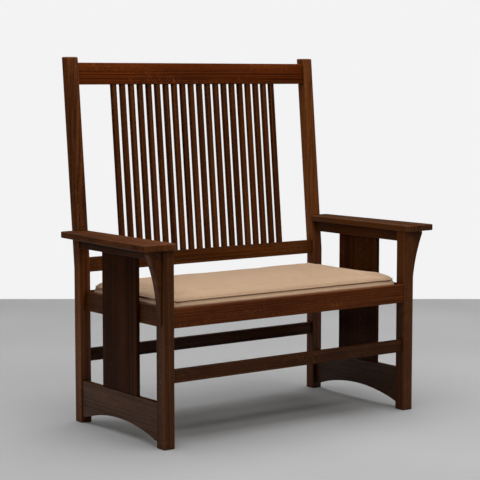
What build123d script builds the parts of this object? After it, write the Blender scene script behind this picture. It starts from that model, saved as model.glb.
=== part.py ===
from build123d import *
import math
import os

# A mission settle in oak: four posts, a spindle back, wide flat arms on corbels,
# one broad slat in each side, arched bottom side rails and a drop-in seat.
# Millimetres. +Z is up, the front faces -Y and +X is to the right of someone
# who looks at the front. The origin is on the floor, midway in width and depth.

# Overall frame
overall_height = 1173.0
post_spacing_x = 962.0
post_spacing_y = 475.0

# Posts
front_post_width = 38.0
front_post_depth = 42.0
back_post_width = 38.0
back_post_depth = 38.0
rake_start_height = 500.0
rake_angle = 5.4
post_ease = 2.5
post_top_bevel = 3.0
post_foot_bevel = 2.0

# Arms, with the underside at one height all along
arm_underside_height = 600.0
arm_thickness = 20.0
arm_front_overhang = 12.0
arm_outer_overhang = 79.0
arm_rear_overhang = 50.0
arm_inner_overhang = 3.0
arm_corner_radius = 9.0
arm_ease = 3.0

# Corbels under the arms, on the outer faces of the front posts
corbel_projection = 46.0
corbel_height = 225.0
corbel_thickness = 24.0
corbel_nose = 13.0
corbel_foot = 5.0
corbel_hollow_share = 0.055
corbel_ease = 1.5

# Side frames: the middle plane of rails and slat lies outside the post centres
side_plane_offset = 5.0
side_rail_thickness = 20.0
arm_rail_height = 35.0
bottom_rail_top_height = 137.0
bottom_rail_depth = 117.0
bottom_rail_arch_rise = 33.0
bottom_rail_arch_land = 14.0
slat_width = 197.0
slat_thickness = 12.0
rail_ease = 1.5

# Seat rails
seat_rail_top_height = 424.0
seat_rail_height = 60.0
seat_rail_thickness = 22.0
seat_rail_setback = 4.0
seat_side_rail_thickness = 18.0

# Stretchers between the legs, front and back
stretcher_top_height = 237.0
stretcher_height = 40.0
stretcher_thickness = 20.0

# Back, built in the plane that follows the rake of the posts
crest_rail_height = 69.0
crest_rail_thickness = 22.0
crest_rail_drop = 19.0
lower_back_rail_above_seat = 62.0
lower_back_rail_height = 47.0
lower_back_rail_thickness = 22.0
spindle_count = 20
spindle_size = 16.0
spindle_panel_width = 664.0
spindle_ease = 1.0

# Mortise and tenon joints
tenon_clearance = 0.2
tenon_shoulder = 9.0
tenon_thickness = 8.0
cross_tenon_length = 18.0
side_tenon_length = 15.0
slat_tenon_length = 12.0
slat_tenon_thickness = 6.0
spindle_tenon_size = 10.0
spindle_tenon_length = 12.0
post_tenon_size = 22.0
post_tenon_length = 12.0

# Draw pins through the tenons, and dowels that hold arms and corbels
pin_diameter = 6.0
pin_length = 22.0
pin_clearance = 0.1
pin_pair_spread_share = 0.46
dowel_diameter = 8.0
dowel_length = 24.0
arm_dowel_spread_share = 0.33
corbel_dowel_upper_share = 0.18
corbel_dowel_lower_share = 0.4

# Drop-in seat: a wooden frame on cleats and corner blocks, webbing and a stuffed pad
seat_gap = 2.0
cleat_thickness = 18.0
cleat_height = 20.0
cleat_lift = 2.0
corner_block_leg = 56.0
seat_frame_width = 45.0
seat_frame_thickness = 18.0
seat_frame_ease = 1.0
frame_tenon_thickness = 6.0
frame_tenon_length = 18.0
frame_tenon_shoulder = 7.0
web_width = 50.0
web_thickness = 2.0
web_end_inset = 9.0
lengthwise_web_count = 4
crosswise_web_count = 9
cushion_edge_height = 49.0
cushion_crown = 11.0
cushion_draw_in = 5.0
cushion_end_draw = 9.0
cushion_shoulder_share = 0.42
cushion_end_height_share = 0.86
cushion_end_round = 36.0
cushion_crown_fade_share = 0.85
cushion_station_shares = (1, 0.99, 0.975, 0.95, 0.92, 0.8, 0.6, 0.35, 0)

# Wood screws for cleats and corner blocks
screw_length = 32.0
screw_diameter = 4.0
screw_head_diameter = 8.0
screw_head_height = 2.6
screw_clearance = 0.1
screw_counterbore_diameter = 11.0
cleat_screw_count = 6
screw_end_inset_share = 0.08
block_screw_share = 0.45

# How far a cutting tool runs past the surface that it cuts
overrun = 5.0

# Derived places
rake = math.radians(rake_angle)
half_x = post_spacing_x / 2
front_reach = front_post_depth / 2 + arm_front_overhang
back_rise = overall_height - post_top_bevel * math.cos(rake) - rake_start_height
back_reach = back_rise * math.tan(rake) + back_post_depth / 2 / math.cos(rake)
overall_depth = front_reach + post_spacing_y + back_reach
front_y = front_reach - overall_depth / 2
back_y = front_y + post_spacing_y
front_post_face = front_y - front_post_depth / 2
front_post_rear = front_y + front_post_depth / 2
back_post_face = back_y - back_post_depth / 2
back_post_rear = back_y + back_post_depth / 2
side_x = half_x + side_plane_offset
slat_inner_x = side_x - slat_thickness / 2
side_opening_middle = (front_post_rear + back_post_face) / 2
seat_rail_bottom_height = seat_rail_top_height - seat_rail_height
front_rail_y = front_post_face + seat_rail_setback + seat_rail_thickness / 2
back_rail_y = back_post_rear - seat_rail_setback - seat_rail_thickness / 2

# The raked plane of the back: local z runs up the posts, local y points backwards
raked = Pos(0, back_y, rake_start_height) * Rot(-rake_angle, 0, 0)
raked_top = (overall_height - rake_start_height) / math.cos(rake)
crest_top = raked_top - crest_rail_drop
crest_bottom = crest_top - crest_rail_height
lower_bottom_height = seat_rail_top_height + lower_back_rail_above_seat
lower_bottom = (lower_bottom_height - rake_start_height) / math.cos(rake)
lower_top = lower_bottom + lower_back_rail_height


# Basic shapes

def block(x, y, z):
    """A rectangular block between a low and a high plane on each axis."""
    size = Box(x[1] - x[0], y[1] - y[0], z[1] - z[0])
    return Pos((x[0] + x[1]) / 2, (y[0] + y[1]) / 2, (z[0] + z[1]) / 2) * size


def around(middle, size):
    """The low and high ends of a length that is centred on a place."""
    return (middle - size / 2, middle + size / 2)


def grown(bounds, gap):
    """The same block bounds with a clearance added on every side."""
    return [(low - gap, high + gap) for low, high in bounds]


def mortise(bounds):
    return block(*grown(bounds, tenon_clearance))


def eased(blank, axis, radius):
    """Rounds the edges that run along one axis."""
    return fillet(blank.edges().filter_by(axis), radius)


def mirrored(shape):
    """The left-hand copy of a right-hand shape."""
    return mirror(shape, about=Plane.YZ)


def peg(diameter, length, start, turn):
    """A round peg that runs from a place on a surface, inwards along its local +Z."""
    body = Cylinder(diameter / 2, length, align=(Align.CENTER, Align.CENTER, Align.MIN))
    return Pos(*start) * Rot(*turn) * body


# Turns that point local +Z along the named direction
to_back = (-90, 0, 0)
to_front = (90, 0, 0)
to_left = (0, -90, 0)
to_right = (0, 90, 0)
upwards = (0, 0, 0)


# Tenons on the right-hand side, as bounds that rails and posts share

def rail_height_bounds(bottom, top):
    return (bottom + tenon_shoulder, top - tenon_shoulder)


def cross_tenon(rail_y, post_width, bottom, top):
    """A tenon that enters the inner face of a post sideways."""
    inner = half_x - post_width / 2
    return [
        (inner - overrun, inner + cross_tenon_length),
        around(rail_y, tenon_thickness),
        rail_height_bounds(bottom, top),
    ]


def side_tenons(middle_x, bottom, top, back_shift):
    """The front and back tenons of a rail in the side frame."""
    height = rail_height_bounds(bottom, top)
    across = around(middle_x, tenon_thickness)
    front = [across, (front_post_rear - side_tenon_length, front_post_rear + overrun), height]
    face = back_post_face + back_shift
    back = [across, (face - overrun, face + side_tenon_length), height]
    return front, back


arm_rail_bottom_height = arm_underside_height - arm_rail_height
arm_rail_middle_height = arm_underside_height - arm_rail_height / 2
arm_rail_rise = max(0, arm_rail_middle_height - rake_start_height)
arm_rail_back_shift = arm_rail_rise * math.tan(rake)
bottom_rail_bottom_height = bottom_rail_top_height - bottom_rail_depth
stretcher_bottom_height = stretcher_top_height - stretcher_height
seat_side_rail_x = slat_inner_x - seat_side_rail_thickness / 2

front_seat_tenon = cross_tenon(
    front_rail_y, front_post_width, seat_rail_bottom_height, seat_rail_top_height)
back_seat_tenon = cross_tenon(
    back_rail_y, back_post_width, seat_rail_bottom_height, seat_rail_top_height)
front_stretcher_tenon = cross_tenon(
    front_y, front_post_width, stretcher_bottom_height, stretcher_top_height)
back_stretcher_tenon = cross_tenon(
    back_y, back_post_width, stretcher_bottom_height, stretcher_top_height)
crest_tenon = cross_tenon(0, back_post_width, crest_bottom, crest_top)
lower_tenon = cross_tenon(0, back_post_width, lower_bottom, lower_top)

arm_rail_tenons = side_tenons(
    side_x, arm_rail_bottom_height, arm_underside_height, arm_rail_back_shift)
seat_side_tenons = side_tenons(
    seat_side_rail_x, seat_rail_bottom_height, seat_rail_top_height, 0)
bottom_rail_tenons = side_tenons(
    side_x, bottom_rail_bottom_height, bottom_rail_top_height, 0)

post_tenon = [
    around(half_x, post_tenon_size),
    around(front_y, post_tenon_size),
    (arm_underside_height - overrun, arm_underside_height + post_tenon_length),
]


# Pins, dowels and screws of the right-hand side, as starts and turns

def pin_heights(bottom, top):
    """Two pins, one above the other, in a deep tenon."""
    middle = (bottom + top) / 2
    reach = (top - bottom) / 2 * pin_pair_spread_share
    return (middle - reach, middle + reach)


def cross_pins(post_width, face_y, turn, heights):
    """Pins from the front or back face of a post, through a sideways tenon."""
    x = half_x - post_width / 2 + cross_tenon_length / 2
    return [((x, face_y, z), turn) for z in heights]


def side_pins(post_width, y, heights):
    """Pins from the outer face of a post, through a tenon of the side frame."""
    return [((half_x + post_width / 2, y, z), to_left) for z in heights]


seat_pin_heights = pin_heights(seat_rail_bottom_height, seat_rail_top_height)
stretcher_pin_heights = [(stretcher_bottom_height + stretcher_top_height) / 2]
bottom_pin_heights = pin_heights(bottom_rail_bottom_height, bottom_rail_top_height)
front_side_pin_y = front_post_rear - side_tenon_length / 2
back_side_pin_y = back_post_face + side_tenon_length / 2
arm_pin_back_y = back_side_pin_y + arm_rail_back_shift

front_seat_pins = cross_pins(front_post_width, front_post_face, to_back, seat_pin_heights)
back_seat_pins = cross_pins(back_post_width, back_post_rear, to_front, seat_pin_heights)
front_stretcher_pins = cross_pins(
    front_post_width, front_post_face, to_back, stretcher_pin_heights)
back_stretcher_pins = cross_pins(
    back_post_width, back_post_rear, to_front, stretcher_pin_heights)
arm_rail_front_pins = side_pins(front_post_width, front_side_pin_y, [arm_rail_middle_height])
arm_rail_back_pins = side_pins(back_post_width, arm_pin_back_y, [arm_rail_middle_height])
bottom_front_pins = side_pins(front_post_width, front_side_pin_y, bottom_pin_heights)
bottom_back_pins = side_pins(back_post_width, back_side_pin_y, bottom_pin_heights)
crest_pins = cross_pins(
    back_post_width, back_post_depth / 2, to_front, pin_heights(crest_bottom, crest_top))
lower_pins = cross_pins(
    back_post_width, back_post_depth / 2, to_front, [(lower_bottom + lower_top) / 2])

arm_dowel_reach = (back_post_face - front_post_rear) * arm_dowel_spread_share
arm_dowels = [
    ((side_x, side_opening_middle + side * arm_dowel_reach,
      arm_underside_height - dowel_length / 2), upwards)
    for side in (-1, 1)
]
corbel_dowels = [
    ((half_x + front_post_width / 2 + dowel_length / 2, front_y,
      arm_underside_height - corbel_height * share), to_left)
    for share in (corbel_dowel_upper_share, corbel_dowel_lower_share)
]


def pin_bodies(places):
    return [peg(pin_diameter, pin_length, start, turn) for start, turn in places]


def pin_holes(places):
    return [
        peg(pin_diameter + 2 * pin_clearance, pin_length + pin_clearance, start, turn)
        for start, turn in places
    ]


def dowel_bodies(places):
    return [peg(dowel_diameter, dowel_length, start, turn) for start, turn in places]


def dowel_holes(places):
    """Holes that are longer than the dowel by the clearance at both ends."""
    holes = []
    for start, turn in places:
        long_hole = Pos(*start) * Rot(*turn) * Pos(0, 0, dowel_length / 2) * Cylinder(
            dowel_diameter / 2 + pin_clearance, dowel_length + 2 * pin_clearance)
        holes.append(long_hole)
    return holes


# Posts

def front_post():
    """Right front post, with a stub tenon on top that enters the arm."""
    post = eased(
        block(around(half_x, front_post_width), around(front_y, front_post_depth),
              (0, arm_underside_height)), Axis.Z, post_ease)
    post = chamfer(post.faces().sort_by(Axis.Z)[0].edges(), post_foot_bevel)
    post += block(*post_tenon)
    for joint in (front_seat_tenon, front_stretcher_tenon, arm_rail_tenons[0],
                  seat_side_tenons[0], bottom_rail_tenons[0]):
        post -= mortise(joint)
    pins = front_seat_pins + front_stretcher_pins + arm_rail_front_pins + bottom_front_pins
    post -= pin_holes(pins)
    post -= dowel_holes(corbel_dowels)
    return post


def back_post_blank():
    """Right back post: upright to the seat, then leaning back to its top."""
    knee = back_post_depth / 2 * math.tan(rake / 2)
    half_level = back_post_depth / 2 / math.cos(rake)
    top_y = back_y + (overall_height - rake_start_height) * math.tan(rake)
    outline = Polyline(
        (back_post_face, 0),
        (back_post_rear, 0),
        (back_post_rear, rake_start_height - knee),
        (top_y + half_level, overall_height),
        (top_y - half_level, overall_height),
        (back_post_face, rake_start_height + knee),
        close=True,
    )
    face = Plane.YZ.offset(half_x - back_post_width / 2) * make_face(outline)
    post = extrude(face, back_post_width, dir=(1, 0, 0))
    post = chamfer(post.faces().sort_by(Axis.Z)[0].edges(), post_foot_bevel)
    post = chamfer(post.faces().sort_by(Axis.Z)[-1].edges(), post_top_bevel)
    long_edges = [edge for edge in post.edges() if edge.length > 2 * back_post_width]
    return fillet(long_edges, post_ease)


def back_post_room(gap, outer_x):
    """What a piece beside the right back post is cut away by: the post's depth plus a gap."""
    inner_x = half_x - back_post_width / 2 - arm_inner_overhang - overrun
    knee = back_post_depth / 2 * math.tan(rake / 2)
    behind = back_post_depth / 2 + overrun
    upright = block((inner_x, outer_x), (back_post_face - gap, back_y + behind),
                    (0, rake_start_height + knee))
    leaning = block((inner_x, outer_x), (-back_post_depth / 2 - gap, behind), (0, raked_top))
    return upright + raked * leaning


def back_post():
    post = back_post_blank()
    for joint in (back_seat_tenon, back_stretcher_tenon, arm_rail_tenons[1],
                  seat_side_tenons[1], bottom_rail_tenons[1]):
        post -= mortise(joint)
    for joint in (crest_tenon, lower_tenon):
        post -= raked * mortise(joint)
    pins = back_seat_pins + back_stretcher_pins + arm_rail_back_pins + bottom_back_pins
    post -= pin_holes(pins)
    post -= [raked * hole for hole in pin_holes(crest_pins + lower_pins)]
    return post


# Rails that run from side to side

def cross_rail(rail_y, thickness, post_width, bottom, top, tenon, pins):
    """A rail between two posts, with a pinned tenon at each end."""
    inner = half_x - post_width / 2
    rail = eased(
        block((-inner, inner), around(rail_y, thickness), (bottom, top)), Axis.X, rail_ease)
    for shape in (block(*tenon), mirrored(block(*tenon))):
        rail += shape
    for hole in pin_holes(pins):
        rail -= hole
        rail -= mirrored(hole)
    return rail


def seat_rail_screw_holes(places):
    """Both halves of the screw holes that the cleats and corner blocks share."""
    holes = [screw_hole(start, turn) for start, turn in places]
    return holes + [mirrored(hole) for hole in holes]


def seat_rail_front():
    rail = cross_rail(front_rail_y, seat_rail_thickness, front_post_width,
                      seat_rail_bottom_height, seat_rail_top_height,
                      front_seat_tenon, front_seat_pins)
    return rail - seat_rail_screw_holes(front_screws)


def seat_rail_back():
    rail = cross_rail(back_rail_y, seat_rail_thickness, back_post_width,
                      seat_rail_bottom_height, seat_rail_top_height,
                      back_seat_tenon, back_seat_pins)
    return rail - seat_rail_screw_holes(back_screws)


def stretcher_front():
    return cross_rail(front_y, stretcher_thickness, front_post_width,
                      stretcher_bottom_height, stretcher_top_height,
                      front_stretcher_tenon, front_stretcher_pins)


def stretcher_back():
    return cross_rail(back_y, stretcher_thickness, back_post_width,
                      stretcher_bottom_height, stretcher_top_height,
                      back_stretcher_tenon, back_stretcher_pins)


# The back: two rails and a row of square spindles, all in the raked plane

spindle_pitch = (spindle_panel_width - spindle_size) / (spindle_count - 1)
spindle_places = [
    (index - (spindle_count - 1) / 2) * spindle_pitch for index in range(spindle_count)
]


def spindle_tenons(x):
    """Bounds of the lower and the upper tenon of one spindle."""
    section = [around(x, spindle_tenon_size), around(0, spindle_tenon_size)]
    lower = section + [(lower_top - spindle_tenon_length, lower_top + overrun)]
    upper = section + [(crest_bottom - overrun, crest_bottom + spindle_tenon_length)]
    return lower, upper


def crest_rail():
    rail = cross_rail(0, crest_rail_thickness, back_post_width,
                      crest_bottom, crest_top, crest_tenon, crest_pins)
    rail -= [mortise(spindle_tenons(x)[1]) for x in spindle_places]
    return raked * rail


def lower_back_rail():
    rail = cross_rail(0, lower_back_rail_thickness, back_post_width,
                      lower_bottom, lower_top, lower_tenon, lower_pins)
    rail -= [mortise(spindle_tenons(x)[0]) for x in spindle_places]
    return raked * rail


def back_spindle(x):
    bar = eased(
        block(around(x, spindle_size), around(0, spindle_size), (lower_top, crest_bottom)),
        Axis.Z, spindle_ease)
    for tenon in spindle_tenons(x):
        bar += block(*tenon)
    return raked * bar


# Side frames

def side_rail(middle_x, thickness, bottom, top, tenons):
    """A rail between the front and back post of the right side."""
    rail = eased(
        block(around(middle_x, thickness), (front_post_rear, back_post_face), (bottom, top)),
        Axis.Y, rail_ease)
    for tenon in tenons:
        rail += block(*tenon)
    return rail


def slat_tenons():
    """Bounds of the bottom and the top tenon of the broad slat."""
    section = [
        around(side_x, slat_tenon_thickness),
        around(side_opening_middle, slat_width - 2 * tenon_shoulder),
    ]
    low = (bottom_rail_top_height - slat_tenon_length, bottom_rail_top_height + overrun)
    high = (arm_rail_bottom_height - overrun, arm_rail_bottom_height + slat_tenon_length)
    return section + [low], section + [high]


def side_slat():
    slat = eased(
        block(around(side_x, slat_thickness), around(side_opening_middle, slat_width),
              (bottom_rail_top_height, arm_rail_bottom_height)), Axis.Z, rail_ease)
    for tenon in slat_tenons():
        slat += block(*tenon)
    return slat


def arm_rail():
    """Rail under the arm. Its back shoulder follows the lean of the back post."""
    rail = eased(
        block(around(side_x, side_rail_thickness), (front_post_rear, back_y),
              (arm_rail_bottom_height, arm_underside_height)), Axis.Y, rail_ease)
    rail -= back_post_room(0, half_x + back_post_width / 2 + side_rail_thickness)
    for tenon in arm_rail_tenons:
        rail += block(*tenon)
    rail -= mortise(slat_tenons()[1])
    rail -= pin_holes(arm_rail_front_pins + arm_rail_back_pins)
    return rail - dowel_holes(arm_dowels)


def seat_rail_side():
    """Side seat rail, behind the broad slat and flush with the posts inside."""
    rail = side_rail(seat_side_rail_x, seat_side_rail_thickness,
                     seat_rail_bottom_height, seat_rail_top_height, seat_side_tenons)
    return rail - [screw_hole(start, turn) for start, turn in side_screws]


def bottom_rail():
    """Bottom side rail with an arched lower edge."""
    arch_start = front_post_rear + bottom_rail_arch_land
    arch_end = back_post_face - bottom_rail_arch_land
    crown_height = bottom_rail_bottom_height + bottom_rail_arch_rise
    outline = make_face([
        Polyline((arch_start, bottom_rail_bottom_height),
                 (front_post_rear, bottom_rail_bottom_height),
                 (front_post_rear, bottom_rail_top_height),
                 (back_post_face, bottom_rail_top_height),
                 (back_post_face, bottom_rail_bottom_height),
                 (arch_end, bottom_rail_bottom_height)),
        ThreePointArc((arch_end, bottom_rail_bottom_height),
                      (side_opening_middle, crown_height),
                      (arch_start, bottom_rail_bottom_height)),
    ])
    face = Plane.YZ.offset(side_x - side_rail_thickness / 2) * outline
    rail = extrude(face, side_rail_thickness, dir=(1, 0, 0))
    upright = rail.edges().filter_by(Axis.Z)
    across = rail.edges().filter_by(Axis.X)
    rail = fillet([edge for edge in rail.edges() if edge not in upright + across], rail_ease)
    for tenon in bottom_rail_tenons:
        rail += block(*tenon)
    rail -= mortise(slat_tenons()[0])
    return rail - pin_holes(bottom_front_pins + bottom_back_pins)


# Arms and corbels

def arm():
    """Right arm: wide at the front, narrower behind, notched round the back post."""
    inner = half_x - front_post_width / 2 - arm_inner_overhang
    outer_front = half_x + front_post_width / 2 + arm_outer_overhang
    outer_back = half_x + back_post_width / 2 + arm_rear_overhang
    front_edge = front_post_face - arm_front_overhang
    outline = Polyline(
        (inner, front_edge),
        (outer_front, front_edge),
        (outer_back, back_post_rear),
        (inner, back_post_rear),
        close=True,
    )
    board = Pos(0, 0, arm_underside_height) * extrude(make_face(outline), arm_thickness)
    board = fillet(board.edges().filter_by(Axis.Z), arm_corner_radius)
    flat_faces = board.faces().filter_by(Axis.Z)
    board = fillet(flat_faces[0].edges() + flat_faces[1].edges(), arm_ease)
    board -= back_post_room(tenon_clearance, half_x + back_post_width / 2 + tenon_clearance)
    board -= mortise(post_tenon)
    return board - dowel_holes(arm_dowels)


def corbel():
    """Bracket with a hollow curve, set against the post and under the arm."""
    face_x = half_x + front_post_width / 2
    nose = (face_x + corbel_projection, arm_underside_height - corbel_nose)
    foot = (face_x + corbel_foot, arm_underside_height - corbel_height)
    chord_x = nose[0] - foot[0]
    chord_z = nose[1] - foot[1]
    hollow = (
        (nose[0] + foot[0]) / 2 - chord_z * corbel_hollow_share,
        (nose[1] + foot[1]) / 2 + chord_x * corbel_hollow_share,
    )
    outline = make_face([
        Line((face_x, arm_underside_height), (nose[0], arm_underside_height)),
        Line((nose[0], arm_underside_height), nose),
        ThreePointArc(nose, hollow, foot),
        Line(foot, (face_x, foot[1])),
        Line((face_x, foot[1]), (face_x, arm_underside_height)),
    ])
    face = Plane.XZ.offset(-front_y - corbel_thickness / 2) * outline
    bracket = extrude(face, corbel_thickness, dir=(0, -1, 0))
    bracket = fillet(bracket.edges().filter_by(GeomType.CIRCLE), corbel_ease)
    return bracket - dowel_holes(corbel_dowels)


# Seat support inside the rails

front_rail_inner = front_rail_y + seat_rail_thickness / 2
back_rail_inner = back_rail_y - seat_rail_thickness / 2
seat_inner_x = min(
    half_x - max(front_post_width, back_post_width) / 2,
    seat_side_rail_x - seat_side_rail_thickness / 2)
cleat_bottom = seat_rail_bottom_height + cleat_lift
cleat_top = cleat_bottom + cleat_height
cleat_middle = (cleat_bottom + cleat_top) / 2
cleat_half_length = seat_inner_x - corner_block_leg

cleat_screw_reach = cleat_half_length * (1 - 2 * screw_end_inset_share)
cleat_screw_places = [
    cleat_screw_reach * (1 - 2 * index / (cleat_screw_count - 1))
    for index in range(cleat_screw_count // 2)
]
block_screw_offset = corner_block_leg * block_screw_share
front_screw_xs = cleat_screw_places + [seat_inner_x - block_screw_offset]
front_screws = [
    ((x, front_rail_inner + cleat_thickness, cleat_middle), to_front) for x in front_screw_xs
]
back_screws = [
    ((x, back_rail_inner - cleat_thickness, cleat_middle), to_back) for x in front_screw_xs
]
side_screws = [
    ((seat_inner_x - cleat_thickness, y, cleat_middle), to_right)
    for y in (front_rail_inner + block_screw_offset, back_rail_inner - block_screw_offset)
]


def screw_shape(slack):
    """A countersunk wood screw that starts at its head and runs along local +Z."""
    head = Cone(
        screw_head_diameter / 2 + slack, screw_diameter / 2 + slack, screw_head_height,
        align=(Align.CENTER, Align.CENTER, Align.MIN))
    shank = Cylinder(
        screw_diameter / 2 + slack, screw_length + slack,
        align=(Align.CENTER, Align.CENTER, Align.MIN))
    return head + shank


def screw_body(start, turn):
    return Pos(*start) * Rot(*turn) * screw_shape(0)


def screw_hole(start, turn):
    return Pos(*start) * Rot(*turn) * screw_shape(screw_clearance)


def screw_counterbore(start, turn):
    """Room for the head and the driver in front of a sunk screw."""
    depth = corner_block_leg
    tool = Cylinder(
        screw_counterbore_diameter / 2, depth, align=(Align.CENTER, Align.CENTER, Align.MAX))
    return Pos(*start) * Rot(*turn) * tool


def seat_cleat(y, screws):
    cleat = eased(
        block((-cleat_half_length, cleat_half_length), y, (cleat_bottom, cleat_top)),
        Axis.X, seat_frame_ease)
    return cleat - seat_rail_screw_holes(screws)


def corner_block(corner_y, direction):
    """Right-hand corner block, a triangle seen from above. Direction points into the seat."""
    outline = Polyline(
        (seat_inner_x, corner_y),
        (seat_inner_x - corner_block_leg, corner_y),
        (seat_inner_x, corner_y + direction * corner_block_leg),
        close=True,
    )
    solid = Pos(0, 0, cleat_bottom) * extrude(make_face(outline), cleat_height)
    rail_screws = front_screws[-1:] if direction > 0 else back_screws[-1:]
    side_screw = side_screws[:1] if direction > 0 else side_screws[1:]
    for start, turn in rail_screws + side_screw:
        solid -= screw_hole(start, turn)
        solid -= screw_counterbore(start, turn)
    return solid


# Drop-in seat

seat_x = (-seat_inner_x + seat_gap, seat_inner_x - seat_gap)
seat_y = (front_rail_inner + seat_gap, back_rail_inner - seat_gap)
frame_bottom = cleat_top
frame_top = frame_bottom + seat_frame_thickness
side_member_top = frame_top - web_thickness
frame_middle = (frame_bottom + side_member_top) / 2
opening_y = (seat_y[0] + seat_frame_width, seat_y[1] - seat_frame_width)


def frame_tenon(at_front):
    """Bounds of the right side member's tenon into the front or back member."""
    x = (seat_x[1] - seat_frame_width + frame_tenon_shoulder, seat_x[1] - frame_tenon_shoulder)
    if at_front:
        y = (opening_y[0] - frame_tenon_length, opening_y[0] + overrun)
    else:
        y = (opening_y[1] - overrun, opening_y[1] + frame_tenon_length)
    return [x, y, around(frame_middle, frame_tenon_thickness)]


def seat_frame_long(y, at_front):
    member = eased(block(seat_x, y, (frame_bottom, frame_top)), Axis.X, seat_frame_ease)
    cut = mortise(frame_tenon(at_front))
    return member - cut - mirrored(cut)


def seat_frame_side():
    member = eased(
        block((seat_x[1] - seat_frame_width, seat_x[1]), opening_y,
              (frame_bottom, side_member_top)), Axis.Y, seat_frame_ease)
    for at_front in (True, False):
        member += block(*frame_tenon(at_front))
    return member


def spread(low, high, width, count):
    """Middles of equal strips, evenly spaced and clear of both ends."""
    gap = (high - low - count * width) / (count + 1)
    return [low + gap + width / 2 + index * (gap + width) for index in range(count)]


def lengthwise_webbing():
    x = (seat_x[0] + web_end_inset, seat_x[1] - web_end_inset)
    rows = spread(opening_y[0], opening_y[1], web_width, lengthwise_web_count)
    return [block(x, around(y, web_width), (side_member_top, frame_top)) for y in rows]


def crosswise_webbing():
    y = (seat_y[0] + web_end_inset, seat_y[1] - web_end_inset)
    low = seat_x[0] + seat_frame_width
    high = seat_x[1] - seat_frame_width
    columns = spread(low, high, web_width, crosswise_web_count)
    height = (frame_top, frame_top + web_thickness)
    return [block(around(x, web_width), y, height) for x in columns]


def cushion_section(x, draw, rise, crown):
    """Outline of the pad across its depth: flat below, full at the edges, crowned on top."""
    bottom = frame_top + web_thickness
    shoulder = bottom + rise * cushion_shoulder_share
    top = bottom + rise
    near = seat_y[0] + draw
    far = seat_y[1] - draw
    middle = (near + far) / 2
    outline = make_face([
        Line((near + cushion_draw_in, bottom), (far - cushion_draw_in, bottom)),
        ThreePointArc((far - cushion_draw_in, bottom), (far, shoulder),
                      (far - cushion_draw_in, top)),
        ThreePointArc((far - cushion_draw_in, top), (middle, top + crown),
                      (near + cushion_draw_in, top)),
        ThreePointArc((near + cushion_draw_in, top), (near, shoulder),
                      (near + cushion_draw_in, bottom)),
    ])
    return Plane.YZ.offset(x) * outline


def cushion_station(x):
    """The section at one place along the pad: round ends, and a crown that fades to them."""
    end = seat_x[1]
    inward = min(1, (end - abs(x)) / cushion_end_round)
    fullness = math.sin(inward * math.pi / 2)
    draw = cushion_end_draw * (1 - fullness)
    fall = cushion_edge_height * (1 - cushion_end_height_share) * (1 - fullness)
    fade = 1 - cushion_crown_fade_share * (x / end) ** 4
    return cushion_section(x, draw, cushion_edge_height - fall, cushion_crown * fade)


def seat_cushion():
    """One stuffed pad with a crown and drawn-in ends."""
    stations = [seat_x[1] * share for share in cushion_station_shares]
    stations += [-x for x in stations[-2::-1]]
    return loft([cushion_station(x) for x in stations], ruled=True)


# The pieces, by name

def pair(name, make):
    shape = make()
    return {name + "_right": shape, name + "_left": mirrored(shape)}


def all_pieces():
    pieces = {}
    pieces.update(pair("front_post", front_post))
    pieces.update(pair("back_post", back_post))
    pieces["crest_rail"] = crest_rail()
    pieces["lower_back_rail"] = lower_back_rail()
    for index, x in enumerate(spindle_places):
        pieces[f"back_spindle_{index + 1:02d}"] = back_spindle(x)
    pieces["seat_rail_front"] = seat_rail_front()
    pieces["seat_rail_back"] = seat_rail_back()
    pieces.update(pair("seat_rail", seat_rail_side))
    pieces["stretcher_front"] = stretcher_front()
    pieces["stretcher_back"] = stretcher_back()
    pieces.update(pair("arm_rail", arm_rail))
    pieces.update(pair("side_slat", side_slat))
    pieces.update(pair("bottom_rail", bottom_rail))
    pieces.update(pair("arm", arm))
    pieces.update(pair("corbel", corbel))
    front_cleat_y = (front_rail_inner, front_rail_inner + cleat_thickness)
    back_cleat_y = (back_rail_inner - cleat_thickness, back_rail_inner)
    pieces["seat_cleat_front"] = seat_cleat(front_cleat_y, front_screws)
    pieces["seat_cleat_back"] = seat_cleat(back_cleat_y, back_screws)
    pieces.update(pair("corner_block_front", lambda: corner_block(front_rail_inner, 1)))
    pieces.update(pair("corner_block_back", lambda: corner_block(back_rail_inner, -1)))
    front_member_y = (seat_y[0], opening_y[0])
    back_member_y = (opening_y[1], seat_y[1])
    pieces["seat_frame_front"] = seat_frame_long(front_member_y, True)
    pieces["seat_frame_back"] = seat_frame_long(back_member_y, False)
    pieces.update(pair("seat_frame", seat_frame_side))
    pieces["lengthwise_webbing"] = Compound(children=lengthwise_webbing())
    pieces["crosswise_webbing"] = Compound(children=crosswise_webbing())
    pieces["seat_cushion"] = seat_cushion()
    pieces["draw_pins"] = draw_pins()
    pieces["dowels"] = dowels()
    pieces["wood_screws"] = wood_screws()
    return pieces


def both_sides(solids):
    return Compound(children=solids + [mirrored(solid) for solid in solids])


def draw_pins():
    level = pin_bodies(
        front_seat_pins + back_seat_pins + front_stretcher_pins + back_stretcher_pins
        + arm_rail_front_pins + arm_rail_back_pins + bottom_front_pins + bottom_back_pins)
    leaning = [raked * pin for pin in pin_bodies(crest_pins + lower_pins)]
    return both_sides(level + leaning)


def dowels():
    return both_sides(dowel_bodies(arm_dowels + corbel_dowels))


def wood_screws():
    places = front_screws + back_screws + side_screws
    return both_sides([screw_body(start, turn) for start, turn in places])


os.makedirs("parts", exist_ok=True)
for name, shape in all_pieces().items():
    export_step(shape, f"parts/{name}.step")
    print(name, round(shape.volume / 1000), "cm3")
print("overall depth", round(overall_depth, 1), "spindle pitch", round(spindle_pitch, 1))
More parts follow.
